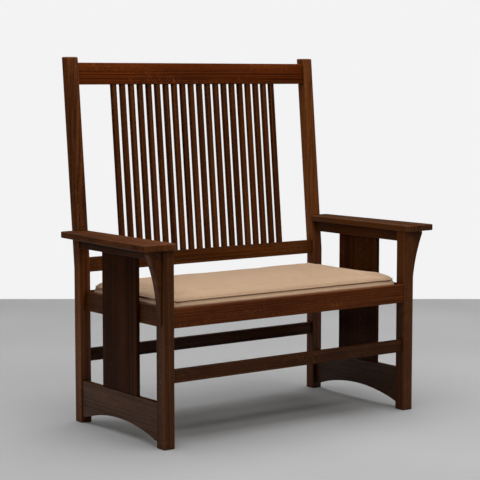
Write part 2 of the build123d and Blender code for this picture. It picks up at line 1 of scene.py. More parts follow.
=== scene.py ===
# %% [markdown]
# # A mission settle, dressed in Blender
#
# The settle arrives as a set of exact boards, pins and a pad, all in metres and all in place. What
# is still missing is everything that makes them look like oak, cloth and jute. This lesson adds it
# one step at a time: first the wood and its finish, then the cushion, then the webbing that is
# seen from below, and last the room, the light and the camera.

# %% Load the settle
import math
import random

import bpy
import numpy as np
from mathutils import Matrix, Vector, noise


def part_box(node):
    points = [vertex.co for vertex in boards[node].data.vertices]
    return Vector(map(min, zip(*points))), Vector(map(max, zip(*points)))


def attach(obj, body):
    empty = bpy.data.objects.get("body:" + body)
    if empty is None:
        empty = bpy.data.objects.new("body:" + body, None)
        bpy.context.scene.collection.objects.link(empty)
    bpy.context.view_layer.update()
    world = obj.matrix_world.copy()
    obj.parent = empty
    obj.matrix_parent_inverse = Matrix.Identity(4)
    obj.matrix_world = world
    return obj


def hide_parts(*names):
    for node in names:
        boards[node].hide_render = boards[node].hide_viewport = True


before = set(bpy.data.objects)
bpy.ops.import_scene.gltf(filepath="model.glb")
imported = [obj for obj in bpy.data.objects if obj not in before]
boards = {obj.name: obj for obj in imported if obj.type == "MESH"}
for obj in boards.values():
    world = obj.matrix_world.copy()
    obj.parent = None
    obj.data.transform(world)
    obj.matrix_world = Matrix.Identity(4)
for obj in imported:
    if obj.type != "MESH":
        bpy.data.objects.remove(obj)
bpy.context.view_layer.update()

MM = 0.001
TINY = 1e-9
BACK_LEAN = math.radians(5.4)

print("pieces in the frame:", len(boards))

# %% [markdown]
# ## A few words for wiring materials
#
# A Blender material is a little circuit of nodes. It could be wired by hand in the editor, but a
# script that builds it has to name every node and every link. A few short helpers keep that
# readable: one adds any node, and the others add the kinds that come back all the time. Those hand
# back sockets and not nodes, so that calls can be nested like sums.

# %% Helpers for wiring


def add_node(tree, kind, feeds=None, **settings):
    """Adds a node, sets its options and feeds its inputs with numbers or with other sockets."""
    made = tree.nodes.new(kind)
    for option, value in settings.items():
        setattr(made, option, value)
    for place, value in (feeds or {}).items():
        if isinstance(value, bpy.types.NodeSocket):
            tree.links.new(value, made.inputs[place])
        else:
            made.inputs[place].default_value = value
    return made


def maths(tree, operation, first, second=0.0, third=0.0):
    feeds = {0: first, 1: second, 2: third}
    return add_node(tree, "ShaderNodeMath", feeds, operation=operation).outputs[0]


def vectors(tree, operation, first, second):
    feeds = {0: first, 1: second}
    return add_node(tree, "ShaderNodeVectorMath", feeds, operation=operation).outputs


def own_place(tree):
    """Where a point lies on the settle: the same space for all its pieces."""
    return add_node(tree, "ShaderNodeTexCoord").outputs["Object"]


def face_normal(tree):
    return add_node(tree, "ShaderNodeNewGeometry").outputs["Normal"]


def split(tree, vector):
    return add_node(tree, "ShaderNodeSeparateXYZ", {0: vector}).outputs


def joined(tree, x, y, z):
    return add_node(tree, "ShaderNodeCombineXYZ", {0: x, 1: y, 2: z}).outputs[0]


def weighed(tree, *terms):
    """A sum of values, each times its own weight."""
    total = 0.0
    for value, weight in terms:
        total = maths(tree, "MULTIPLY_ADD", value, weight, total)
    return total


def stretched(tree, place, scale):
    """The same place in a space that is stretched by a different amount along each axis."""
    return vectors(tree, "MULTIPLY", place, scale)[0]


def cloudy(tree, place, scale, detail=2.0, distortion=0.0, output="Fac"):
    """Soft random values around a half, in a space stretched by scale."""
    feeds = {"Vector": stretched(tree, place, scale), "Scale": 1.0, "Detail": detail,
             "Distortion": distortion}
    return add_node(tree, "ShaderNodeTexNoise", feeds).outputs[output]


def fitted(tree, value, low, high, to_low=0.0, to_high=1.0):
    """Stretches the range from low to high over another range, and clips what lies outside."""
    feeds = {"Value": value, "From Min": low, "From Max": high, "To Min": to_low, "To Max": to_high}
    return add_node(tree, "ShaderNodeMapRange", feeds, clamp=True).outputs["Result"]


def blended(tree, share, first, second):
    """Two colours mixed by a share."""
    feeds = {0: share, 6: first, 7: second}
    return add_node(tree, "ShaderNodeMix", feeds, data_type="RGBA").outputs[2]


def partly(tree, strength, share, first, second):
    """As blended, with the share weakened first."""
    return blended(tree, maths(tree, "MULTIPLY", share, strength), first, second)


def toned(colour, brightness=1.0, warmth=1.0):
    """A colour made lighter or darker, and more or less red against blue."""
    red, green, blue = colour
    return (red * brightness * warmth, green * brightness, blue * brightness / warmth, 1.0)


print("helpers ready")

# %% [markdown]
# ## Quarter-sawn oak
#
# Settles of this kind are made from oak that is sawn towards the heart of the log. Such boards show
# fine straight lines along their length, which are the year rings seen from the side, and shorter
# bright marks across them, the ray flecks. Thousands of tiny open pores run along the grain.
#
# A photograph of wood could be pasted on, but its pattern would not continue round a board's edge.
# Here the pattern fills space, as in real timber: each board is cut out of it, so the lines on
# one face meet the pores on the next. All of it sits in one group of nodes with the grain along X,
# and every board turns and shifts that space for itself.

# %% Where the wood is worn, and where grime and painted shade darken it
EDGE_REACH = 4.0 * MM
CORNER_REACH = 14.0 * MM
RAY_COUNT = 4
WEAR_TURN = (0.995, 0.86)
WEAR_BREAKS = (9.0, 40.0, 40.0)
WEAR_GAPS = (0.40, 0.62)
GRIME_AND_SHADE_OPENNESS = (0.85, 0.35)


def edge_wear(tree, place):
    """Where edges are rubbed: near them the rounded normal turns away from the true one."""
    rounded = add_node(tree, "ShaderNodeBevel", {"Radius": EDGE_REACH}, samples=RAY_COUNT)
    agree = vectors(tree, "DOT_PRODUCT", rounded.outputs[0], face_normal(tree))["Value"]
    near_edge = fitted(tree, agree, *WEAR_TURN)
    breaks = fitted(tree, cloudy(tree, place, WEAR_BREAKS, detail=3.0), *WEAR_GAPS)
    return maths(tree, "MULTIPLY", near_edge, breaks)


def openness(tree):
    """How much light from all round reaches a point."""
    return add_node(tree, "ShaderNodeAmbientOcclusion", {"Distance": CORNER_REACH},
                    samples=RAY_COUNT).outputs["AO"]


def grime_and_painted_shade(tree):
    """Painted shade with wax and dust: darker in corners that little light reaches."""
    return fitted(tree, openness(tree), *GRIME_AND_SHADE_OPENNESS)


print("wear reaches", EDGE_REACH / MM, "mm from an edge")
print("grime reaches", CORNER_REACH / MM, "mm from a corner")

# %% How fine each pattern is and how strongly it shows
# how often each pattern repeats per metre, along the grain and in the two directions across it
RING_LINES = (0.5, 210.0, 34.0)
GRAIN_SWAY = (1.1, 6.0, 6.0)
FIBRES = (7.0, 480.0, 480.0)
PORES = (36.0, 880.0, 880.0)
FLECK_BANDS = (88.0, 24.0, 18.0)
FLECK_PATCHES = (5.0, 15.0, 15.0)
BLOTCHES = (1.7, 8.0, 8.0)
POLISH_CLOUDS = (6.0, 18.0, 18.0)
# where each pattern begins and where it is full
PORE_EDGE, PORE_RINGS = (0.58, 0.70), (0.40, 0.60)
FLECK_RIBBON, FLECK_PATCH = (0.045, 0.012), (0.46, 0.60)
DEEP_TO_BODY, BODY_TO_LIGHT = (0.38, 0.50), (0.50, 0.62)
MIDDLE = (0.30, 0.70)
# roughness where the wax is best and where it is worst
POLISH = (0.34, 0.50)
# how far the lines sway, and how much the flecks slant
SWAY_REACH = 16.0 * MM
FLECK_SLANT = 0.45
# how strongly each one shows
SHADE_OF_RINGS, SHADE_OF_FIBRES, SHADE_OF_BLOTCHES = 0.50, 0.20, 0.30
HEIGHT_OF_RINGS, HEIGHT_OF_FIBRES, HEIGHT_OF_PORES = 0.35, 0.30, -0.80
ROUGHER_GRIME_AND_SHADE, ROUGHER_PORES, ROUGHER_FLECKS = 0.15, 0.12, -0.08
SHOW_FLECKS, SHOW_PORES, SHOW_WEAR, SHOW_GRIME_AND_SHADE = 0.50, 0.60, 0.45, 0.55
# colour of the painted shade and grime that darken corners which little light reaches
GRIME_AND_SHADE = (0.006, 0.004, 0.003, 1.0)
print("open pores repeat every", round(1 / PORES[0] / MM), "mm along the grain")

# %% Ray flecks, and ring lines that sway


def ray_flecks(tree, place, facing, strength):
    """Thin bright ribbons across the grain, in patches, on the faces sawn towards the heart."""
    apart = split(tree, place)
    slanted = maths(tree, "MULTIPLY_ADD", apart["Y"], FLECK_SLANT, apart["X"])
    space = joined(tree, slanted, apart["Y"], apart["Z"])
    waves = cloudy(tree, space, FLECK_BANDS, detail=1.0, distortion=0.7)
    middle = maths(tree, "ABSOLUTE", maths(tree, "SUBTRACT", waves, 0.5))
    ribbon = fitted(tree, middle, *FLECK_RIBBON)
    patches = fitted(tree, cloudy(tree, place, FLECK_PATCHES), *FLECK_PATCH)
    shown = maths(tree, "MULTIPLY", maths(tree, "MULTIPLY", ribbon, patches), facing)
    return maths(tree, "MULTIPLY", shown, strength)


def swayed_grain(tree, place):
    """The place shifted a little sideways, so that the ring lines are not ruled."""
    sway = cloudy(tree, place, GRAIN_SWAY, detail=1.0, output="Color")
    centred = vectors(tree, "SUBTRACT", sway, (0.5, 0.5, 0.5))[0]
    reach = stretched(tree, centred, (0.0, SWAY_REACH, SWAY_REACH))
    return vectors(tree, "ADD", place, reach)[0]


print("flecks and ring lines ready")

# %% The look of oak as one group of nodes
OAK_INPUTS = (
    ("place", "NodeSocketVector"), ("facing", "NodeSocketFloat"), ("flecks", "NodeSocketFloat"),
    ("deep", "NodeSocketColor"), ("body", "NodeSocketColor"), ("light", "NodeSocketColor"),
    ("worn", "NodeSocketColor"),
)
OAK_OUTPUTS = (
    ("colour", "NodeSocketColor"), ("roughness", "NodeSocketFloat"),
    ("height", "NodeSocketFloat"),
)


def make_oak_group():
    tree = bpy.data.node_groups.new("quarter_sawn_oak", "ShaderNodeTree")
    for direction, sockets in (("INPUT", OAK_INPUTS), ("OUTPUT", OAK_OUTPUTS)):
        for name, kind in sockets:
            tree.interface.new_socket(name, in_out=direction, socket_type=kind)
    given = tree.nodes.new("NodeGroupInput").outputs
    place = given["place"]
    grain = swayed_grain(tree, place)
    rings, fibres = cloudy(tree, grain, RING_LINES), cloudy(tree, grain, FIBRES)
    blotches = cloudy(tree, place, BLOTCHES)
    pores = maths(tree, "MULTIPLY",
                  fitted(tree, cloudy(tree, grain, PORES, detail=0.0), *PORE_EDGE),
                  fitted(tree, rings, *PORE_RINGS))
    flecks = ray_flecks(tree, place, given["facing"], given["flecks"])
    shade = weighed(tree, (blotches, SHADE_OF_BLOTCHES), (fibres, SHADE_OF_FIBRES),
                    (rings, SHADE_OF_RINGS))
    wood = blended(tree, fitted(tree, shade, *DEEP_TO_BODY), given["deep"], given["body"])
    wood = blended(tree, fitted(tree, shade, *BODY_TO_LIGHT), wood, given["light"])
    wood = partly(tree, SHOW_FLECKS, flecks, wood, given["worn"])
    wood = partly(tree, SHOW_PORES, pores, wood, given["deep"])
    wood = partly(tree, SHOW_WEAR, edge_wear(tree, place), wood, given["worn"])
    # painted shade: corners that little light reaches are darkened, together with wax and dust
    grime_and_shade = grime_and_painted_shade(tree)
    wood = partly(tree, SHOW_GRIME_AND_SHADE, grime_and_shade, wood, GRIME_AND_SHADE)
    polish = fitted(tree, cloudy(tree, place, POLISH_CLOUDS, detail=3.0), *MIDDLE, *POLISH)
    rough = weighed(tree, (polish, 1.0), (pores, ROUGHER_PORES), (grime_and_shade, ROUGHER_GRIME_AND_SHADE),
                    (flecks, ROUGHER_FLECKS))
    height = weighed(tree, (fibres, HEIGHT_OF_FIBRES), (rings, HEIGHT_OF_RINGS),
                     (pores, HEIGHT_OF_PORES))
    add_node(tree, "NodeGroupOutput", {"colour": wood, "roughness": rough, "height": height})
    return tree


oak_group = make_oak_group()
print("nodes in the oak group:", len(oak_group.nodes))

# %% [markdown]
# ## Which way the grain runs
#
# A joiner lays the grain along a board's longest side, because wood is strong that way. The same
# rule works here: the longest side of a board's box gives the grain, and the shortest side gives
# the thickness. Posts and spindles are square, so their ring lines are turned by an eighth of a
# turn, and then show on all four faces, as on posts built up from four quarter-sawn faces.

# %% Find the grain of every board
AXES = (Vector((1, 0, 0)), Vector((0, 1, 0)), Vector((0, 0, 1)))
SQUARE_PIECES = ("front_post", "back_post", "back_spindle")
LEANING_PIECES = ("back_spindle", "crest_rail", "lower_back_rail")
SOFT_OR_SMALL = ("seat_cushion", "lengthwise_webbing", "crosswise_webbing", "draw_pins", "dowels",
                 "wood_screws")
ALONG_AXIS = 0.9


def grain_directions(name):
    """Unit vectors along the grain, across the width and through the thickness of a board."""
    low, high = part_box(name)
    sides = high - low
    order = sorted(range(3), key=lambda axis: -sides[axis])
    along, across = AXES[order[0]].copy(), AXES[order[1]].copy()
    if name.startswith(LEANING_PIECES):
        lean = Matrix.Rotation(-BACK_LEAN, 3, "X")
        along, across = lean @ along, lean @ across
    through = along.cross(across)
    if name.startswith(SQUARE_PIECES):
        across, through = (across + through).normalized(), (through - across).normalized()
    return along, across, through


wooden = sorted(name for name in boards if name not in SOFT_OR_SMALL)
grain_of = {name: grain_directions(name) for name in wooden}
for axis, title in zip(AXES, ("across the settle", "front to back", "upwards")):
    count = sum(abs(grain_of[name][0].dot(axis)) > ALONG_AXIS for name in wooden)
    print(count, "boards have their grain", title)

# %% [markdown]
# ## From a circuit to a finish
#
# Each finish ends in the same way: a height map becomes relief, and colour, roughness and relief
# meet in one shader. A helper does that once for all. What is the same all over a surface, such as
# how much it mirrors, is set on the shader itself and not wired.

# %% Helpers for a finish


def new_material(name):
    made = bpy.data.materials.new(name)
    made.use_nodes = True
    made.node_tree.nodes.clear()
    return made, made.node_tree


def show_surface(tree, shader):
    add_node(tree, "ShaderNodeOutputMaterial", {"Surface": shader.outputs[0]})


def lay_surface(tree, colour, roughness, height, relief, extras):
    """One shader with relief of a given strength and depth, and what else the finish sets."""
    strength, depth = relief
    bump = add_node(tree, "ShaderNodeBump", {"Strength": strength, "Distance": depth,
                                             "Height": height})
    feeds = {"Base Color": colour, "Roughness": roughness, "Normal": bump.outputs[0]}
    show_surface(tree, add_node(tree, "ShaderNodeBsdfPrincipled", {**feeds, **extras}))


print("finish helpers ready")

# %% [markdown]
# ## The dark fumed finish
#
# Ammonia fumes turn the tannin in oak deep brown, and wax over shellac leaves a satin gloss. No two
# boards take the fumes alike, so each gets its own strength of colour, its own gloss and its own
# part of the pattern. Some of these strengths are painted light: the side slats, arm rails
# and side seat rails are painted darker for the shade under the arms, and the arms and back
# posts are painted lighter for their sheen. The random draws start from a fixed seed, because
# the settle has to look the same each time that this script runs. Edges are rubbed lighter by
# hands, and corners that little light reaches get painted shade, with the wax and dust that
# gather there.

# %% Colour every board
DARK_OAK = {"deep": (0.0220, 0.0060, 0.0010), "body": (0.0620, 0.0172, 0.0028),
            "light": (0.1060, 0.0335, 0.0066), "worn": (0.1600, 0.0620, 0.0180)}
PLAIN_WOOD = {"deep": (0.28, 0.170, 0.088), "body": (0.42, 0.280, 0.155),
              "light": (0.52, 0.370, 0.225), "worn": (0.56, 0.420, 0.280)}
GRAIN_RELIEF = (0.45, 0.35 * MM)
SUPPORTS = ("seat_cleat", "corner_block", "seat_frame")
# board, brightness, warmth, gloss
# some brightnesses are painted light: side slats, arm rails and side seat rails darker for the
# shade under the arms, arms and back posts lighter for their sheen
BOARD_TONES_AND_PAINTED_LIGHT = (
    ("crest_rail", 1.26, 1.44, 0.05), ("back_spindle", 0.98, 1.18, 0.10),
    ("lower_back_rail", 1.12, 1.04, 0.10), ("back_post", 1.54, 1.08, 0.16),
    ("seat_rail_front", 1.08, 1.32, 0.10), ("arm_rail", 0.80, 1.00, 0.12),
    ("arm_left", 1.32, 1.03, 0.12), ("arm_right", 1.10, 0.95, 0.14),
    ("side_slat", 0.52, 1.10, 0.04), ("front_post", 1.06, 1.00, 0.14),
    ("bottom_rail", 1.06, 0.86, 0.24), ("stretcher", 0.74, 1.05, 0.12),
    ("corbel", 0.90, 1.00, 0.12), ("seat_rail", 0.80, 1.00, 0.12),
)
PLAIN_TONE = (1.00, 1.00, 0.12)
TONE_SPREAD = (0.90, 1.10)
WARMTH_SPREAD = (0.97, 1.03)
FLECK_SPREAD = (0.5, 1.0)
SUPPORT_FLECKS = 0.25
SQUARE_FACING = 0.7
TIMBER_REACH = 3.0
random.seed(1905)


def board_place(tree, directions):
    """Where a point lies in the timber that the board was cut from, with the grain along X."""
    shift = [random.uniform(-TIMBER_REACH, TIMBER_REACH) for axis in AXES]
    feeds = {"Vector": own_place(tree), "Location": shift,
             "Rotation": Matrix(directions).to_euler()}
    return add_node(tree, "ShaderNodeMapping", feeds).outputs[0]


def facing_share(tree, name):
    """How much a face looks towards the board's thickness, where the flecks show."""
    if name.startswith(SQUARE_PIECES):
        return SQUARE_FACING
    through = tuple(grain_of[name][2])
    agree = vectors(tree, "DOT_PRODUCT", face_normal(tree), through)["Value"]
    return maths(tree, "ABSOLUTE", agree)


def finish_board(name):
    """Draws a board's own tone, wires its oak and puts it on."""
    support = name.startswith(SUPPORTS)
    colours = PLAIN_WOOD if support else DARK_OAK
    tone, warmth, gloss = next((row[1:] for row in BOARD_TONES_AND_PAINTED_LIGHT if name.startswith(row[0])),
                               PLAIN_TONE)
    tone *= random.uniform(*TONE_SPREAD)
    warmth *= random.uniform(*WARMTH_SPREAD)
    flecks = SUPPORT_FLECKS if support else random.uniform(*FLECK_SPREAD)
    made, tree = new_material("oak_" + name)
    feeds = {"place": board_place(tree, grain_of[name]), "facing": facing_share(tree, name),
             "flecks": flecks}
    for part, colour in colours.items():
        feeds[part] = toned(colour, tone, warmth)
    oak = add_node(tree, "ShaderNodeGroup", feeds, node_tree=oak_group).outputs
    lay_surface(tree, oak["colour"], oak["roughness"], oak["height"], GRAIN_RELIEF,
                {"Specular IOR Level": gloss})
    boards[name].data.materials[0] = made


for name in wooden:
    finish_board(name)
print("boards finished:", len(wooden))

# %% [markdown]
# ## Pins, dowels and screws
#
# Each tenon is locked by a small oak pin driven through the post. Only its end is seen, and end
# grain drinks more of the finish than a face does, so a pin reads as a small darker disc. The
# screws that hold the cleats are plain steel that has dulled, with a little brown where they meet
# the damp wood.

# %% End grain for the pins, dull steel for the screws
PIN_DARK = (0.010, 0.0036, 0.0012)
PIN_BROWN = (0.036, 0.0125, 0.0036)
PIN_RINGS, PIN_PORES = (150.0, 420.0, 150.0), (1500.0,) * 3
PIN_RING_EDGE, PIN_PORE_EDGE = (0.35, 0.65), (0.55, 0.66)
PIN_PORES_SHOW, PIN_PORE_TONE, PIN_PORE_HEIGHT = 0.7, 0.5, -0.8
PIN_ROUGHNESS, PIN_RELIEF, PIN_GLOSS = (0.42, 0.62), (0.5, 0.3 * MM), 0.12
STEEL_GREY = (0.34, 0.33, 0.31, 1.0)
STEEL_BROWN = (0.12, 0.060, 0.030, 1.0)
STEEL_STAINS, STEEL_TURNING = (320.0,) * 3, (2600.0,) * 3
STAIN_EDGE = (0.48, 0.68)
STEEL_ROUGHNESS, STEEL_RELIEF = (0.38, 0.75), (0.3, 0.1 * MM)
BARE_TO_STAINED = (1.0, 0.2)


def end_grain():
    made, tree = new_material("oak_end_grain")
    here = own_place(tree)
    rings = cloudy(tree, here, PIN_RINGS, detail=3.0)
    pores = fitted(tree, cloudy(tree, here, PIN_PORES, detail=0.0), *PIN_PORE_EDGE)
    wood = blended(tree, fitted(tree, rings, *PIN_RING_EDGE), toned(PIN_DARK), toned(PIN_BROWN))
    wood = partly(tree, PIN_PORES_SHOW, pores, wood, toned(PIN_DARK, PIN_PORE_TONE))
    lay_surface(tree, wood, fitted(tree, rings, *MIDDLE, *PIN_ROUGHNESS),
                weighed(tree, (rings, 1.0), (pores, PIN_PORE_HEIGHT)), PIN_RELIEF,
                {"Specular IOR Level": PIN_GLOSS})
    return made


def dull_steel():
    made, tree = new_material("dull_steel")
    here = own_place(tree)
    stains = fitted(tree, cloudy(tree, here, STEEL_STAINS, detail=4.0), *STAIN_EDGE)
    lay_surface(tree, blended(tree, stains, STEEL_GREY, STEEL_BROWN),
                fitted(tree, stains, 0.0, 1.0, *STEEL_ROUGHNESS),
                cloudy(tree, here, STEEL_TURNING, detail=1.0), STEEL_RELIEF,
                {"Metallic": fitted(tree, stains, 0.0, 1.0, *BARE_TO_STAINED)})
    return made


pin_finish = end_grain()
for name in ("draw_pins", "dowels"):
    boards[name].data.materials[0] = pin_finish
boards["wood_screws"].data.materials[0] = dull_steel()
print("pins, dowels and screws finished")

# %% [markdown]
# ## The cover's cloth
#
# The cushion has a plain beige cover. A weave is a fine chequer: where a thread of one direction
# lies on top, the other dips below. Two sets of waves, one for each direction, and a chequer that
# chooses between them make exactly that. The waves have to follow the cloth over the front edge, so
# the second direction adds height to depth: on the top the height hardly changes, and on the front
# the depth hardly does. On the two ends the height joins the other direction instead.
#
# Real yarn is never even. Slubs, which are thicker and paler stretches of yarn, give cloth most of
# its life at a distance, where single threads are too fine to be seen.

# %% A weave that follows the cloth
WAVES_PER_UNIT = 20.0 / (2.0 * math.pi)
SLUB_LENGTHWISE = (9.0, 420.0, 1.0)
SLUB_CROSSWISE = (420.0, 9.0, 1.0)
END_SHARPNESS = 4.0


def cloth_place(tree, thread):
    """Place along and across the cloth, the same all the way round its edges."""
    apart = split(tree, own_place(tree))
    sideways = split(tree, face_normal(tree))["X"]
    on_end = maths(tree, "POWER", maths(tree, "ABSOLUTE", sideways), END_SHARPNESS)
    elsewhere = maths(tree, "SUBTRACT", 1.0, on_end)
    across = maths(tree, "MULTIPLY_ADD", apart["Z"], elsewhere, apart["Y"])
    along = maths(tree, "MULTIPLY_ADD", apart["Z"], on_end, apart["X"])
    return joined(tree, along, across, thread / 2)


def weave(tree, place, thread):
    """Height of a plain weave, from 0 between the threads to 1 on top of them."""
    waves = {"Vector": place, "Scale": 1.0 / (thread * WAVES_PER_UNIT)}
    warp, weft = (add_node(tree, "ShaderNodeTexWave", waves, bands_direction=axis).outputs["Fac"]
                  for axis in "XY")
    chequer = add_node(tree, "ShaderNodeTexChecker", {"Vector": place, "Scale": 1.0 / thread})
    return blended(tree, chequer.outputs["Fac"], warp, weft)


def slubs(tree, place):
    """Paler and darker stretches of yarn, in both directions."""
    return weighed(tree, (cloudy(tree, place, SLUB_CROSSWISE), 0.5),
                   (cloudy(tree, place, SLUB_LENGTHWISE), 0.5))


print("weave ready")

# %% The beige cover and the hessian below it
COVER_PALE = (0.596, 0.404, 0.256)
COVER_BEIGE = (0.502, 0.325, 0.199)
# the colours of the painted shade between threads and in folds
COVER_SHADE = (0.350, 0.216, 0.125)
HESSIAN_PALE = (0.430, 0.310, 0.180)
HESSIAN_SHADE = (0.200, 0.130, 0.068)
COVER_THREAD, COVER_DEPTH = 1.7 * MM, 0.5 * MM
HESSIAN_THREAD, HESSIAN_DEPTH = 2.6 * MM, 0.9 * MM
SOIL_CLOUDS = (5.0, 7.0, 9.0)
# where each effect begins and is full, how much it then covers, and the tone that it lays on
YARN_EDGE, YARN_TONE = (0.38, 0.62), 0.92
SOIL, SOIL_TONE = (0.35, 0.75, 0.0, 0.45), 0.95
# painted shade between the threads, where they dip below each other
GAP_SHADE = (0.30, 0.0, 0.0, 0.75)
# painted shade in the folds and along the seam, where little light from all round reaches
FOLD_SHADE, FOLD_SHADE_TONE = (0.9, 0.3, 0.0, 0.35), 0.7
YARN_ROUGHNESS, YARN_HEIGHT, CLOTH_STRENGTH = (0.78, 0.92), 0.6, 0.55
CLOTH_SHEEN = {"Specular IOR Level": 0.25, "Sheen Weight": 0.18, "Sheen Roughness": 0.45}


def woven_material(name, thread, pale, middle, shade, depth):
    made, tree = new_material(name)
    place = cloth_place(tree, thread)
    threads, yarn = weave(tree, place, thread), slubs(tree, place)
    soil = cloudy(tree, own_place(tree), SOIL_CLOUDS, detail=4.0)
    cloth = blended(tree, fitted(tree, yarn, *YARN_EDGE), toned(middle, YARN_TONE), toned(pale))
    cloth = blended(tree, fitted(tree, soil, *SOIL), cloth, toned(middle, SOIL_TONE))
    # painted shade: the cloth is darker where its threads dip
    cloth = blended(tree, fitted(tree, threads, *GAP_SHADE), cloth, toned(shade))
    # painted shade: the cloth is darkened where little light from all round reaches
    painted_fold_shade = fitted(tree, openness(tree), *FOLD_SHADE)
    cloth = blended(tree, painted_fold_shade, cloth, toned(shade, FOLD_SHADE_TONE))
    lay_surface(tree, cloth, fitted(tree, yarn, *MIDDLE, *YARN_ROUGHNESS),
                weighed(tree, (threads, 1.0), (yarn, YARN_HEIGHT)), (CLOTH_STRENGTH, depth),
                CLOTH_SHEEN)
    return made


cover_cloth = woven_material("beige_cover", COVER_THREAD, COVER_PALE, COVER_BEIGE, COVER_SHADE,
                             COVER_DEPTH)
hessian = woven_material("hessian", HESSIAN_THREAD, HESSIAN_PALE, HESSIAN_PALE, HESSIAN_SHADE,
                         HESSIAN_DEPTH)
print("threads in the cover, in mm:", COVER_THREAD / MM)

# %% [markdown]
# ## The stuffed pad
#
# The seat is a pad of stuffing under a tight cover, dropped inside the rails. Its underside lies
# flat on the webbing, its lower sides are held by the rails, and only the part above the rails can
# swell. The cover is sewn from a top panel and a narrow border, with a seam between them.
# A rounded block would look dead: what sells a pad is the way the panel bulges up from its seam,
# and the way its sides draw in a little between the corners.
#
# So the pad starts as an evenly meshed block, slightly small, and Blender's cloth solver blows it
# up with a little pressure inside. Everything that the rails hold is pinned. Afterwards no point
# may lie further from where it began than a set reach, which keeps the pad inside its space. A
# subdivision surface on a rough cage would be quicker, but it could not find the bulge by itself.

# %% Mesh an even block


def block_shell(low, high, step):
    """Corner points and four-sided faces of an evenly meshed block, welded at its edges."""
    counts = [max(2, round((high[axis] - low[axis]) / step)) for axis in range(3)]
    index_of, points, faces = {}, [], []

    def point(key):
        if key not in index_of:
            index_of[key] = len(points)
            points.append([low[axis] + (high[axis] - low[axis]) * key[axis] / counts[axis]
                           for axis in range(3)])
        return index_of[key]

    for axis in range(3):
        first, second = (axis + 1) % 3, (axis + 2) % 3
        for end in (0, counts[axis]):
            for i in range(counts[first]):
                for j in range(counts[second]):
                    ring = []
                    for di, dj in ((0, 0), (1, 0), (1, 1), (0, 1)):
                        key = [0, 0, 0]
                        key[axis], key[first], key[second] = end, i + di, j + dj
                        ring.append(point(tuple(key)))
                    faces.append(ring if end else ring[::-1])
    return np.array(points), faces


def new_piece(name, points, faces, material):
    mesh = bpy.data.meshes.new(name)
    mesh.from_pydata([tuple(point) for point in points], [], faces)
    mesh.materials.append(material)
    mesh.shade_smooth()
    made = bpy.data.objects.new(name, mesh)
    bpy.context.scene.collection.objects.link(made)
    return made


PAD_STEP = 6.0 * MM
PAD_START = 3.0 * MM
pad_low, pad_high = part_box("seat_cushion")
pad_start_low = (pad_low.x + PAD_START, pad_low.y + PAD_START, pad_low.z)
pad_start_high = (pad_high.x - PAD_START, pad_high.y - PAD_START, pad_high.z - PAD_START)
shell_points, shell_faces = block_shell(pad_start_low, pad_start_high, PAD_STEP)
print("pad starts with", len(shell_points), "points")

# %% Round it and crown it
PAD_CORNER = 24.0 * MM
PAD_CROWN = 8.0 * MM
PANEL_REACH = 42.0 * MM
PANEL_RISE = 13.0 * MM
BORDER_DRAW = 3.0 * MM
SIDE_BOW = 3.5 * MM
BORDER_FROM = 0.45
# the higher the power, the longer the pad stays level before it falls to its edge
POWER_LONGWAYS, POWER_ACROSS = 4, 2


def pulled_in(values, low, high, radius):
    """Distance past the straight part of a side, from 0 in the middle to radius at its end."""
    return np.maximum(0, np.maximum(low + radius - values, values - (high - radius)))


def from_edge(x, y, low, high):
    """Distance inwards from the pad's outline, which is a rectangle with rounded corners."""
    across = abs(x - (low[0] + high[0]) / 2) - (high[0] - low[0]) / 2 + PAD_CORNER
    along = abs(y - (low[1] + high[1]) / 2) - (high[1] - low[1]) / 2 + PAD_CORNER
    outside = np.hypot(np.maximum(across, 0), np.maximum(along, 0))
    return np.maximum(0, PAD_CORNER - outside - np.minimum(np.maximum(across, along), 0))


def rounded_pad(points, low, high):
    """Rounds the corners, draws the sides in between them, and lifts the panel to its crown."""
    x, y, z = points.T.copy()
    middle = (np.array(low) + np.array(high)) / 2
    half = (np.array(high) - np.array(low)) / 2
    off_x, off_y = (x - middle[0]) / half[0], (y - middle[1]) / half[1]
    out_x = pulled_in(x, low[0], high[0], PAD_CORNER)
    out_y = pulled_in(y, low[1], high[1], PAD_CORNER)
    reach = np.hypot(out_x, out_y)
    trim = np.where(reach > PAD_CORNER, PAD_CORNER / np.maximum(reach, TINY), 1.0)
    x -= np.sign(x - middle[0]) * out_x * (1 - trim)
    y -= np.sign(y - middle[1]) * out_y * (1 - trim)
    inwards = from_edge(x, y, low, high)
    steep = np.clip(1 - inwards / PANEL_REACH, 0, 1)
    rise = PANEL_RISE * np.sqrt(1 - steep ** 2)
    full_x, full_y = 1 - off_x ** POWER_LONGWAYS, 1 - off_y ** POWER_ACROSS
    crown = PAD_CROWN * full_x * full_y
    seam_height = high[2] - PAD_CROWN - PANEL_RISE
    lift = (z - low[2]) / (high[2] - low[2])
    z = low[2] + lift * (seam_height + rise + np.maximum(0, crown) - low[2])
    gathered = (np.clip((lift - BORDER_FROM) / (1 - BORDER_FROM), 0, 1) ** 2
                * np.clip(1 - inwards / PAD_CORNER, 0, 1))
    x -= gathered * off_x * (BORDER_DRAW + SIDE_BOW * full_y)
    y -= gathered * off_y * (BORDER_DRAW + SIDE_BOW * full_x)
    return np.stack([x, y, z], axis=1)


shell_points = rounded_pad(shell_points, pad_start_low, pad_start_high)
seat_pad = new_piece("seat_pad", shell_points, shell_faces, cover_cloth)
print("highest point of the unswollen pad in mm:", round(shell_points[:, 2].max() / MM, 1))

# %% [markdown]
# ### Blow it up
#
# The pinning is a weight for each point: one where the pad is held, none where it is free, and a
# smooth change between them just above the rails. Gravity is left out, because the stuffing carries
# the cover. Twenty steps are enough for the cover to settle against the pressure.

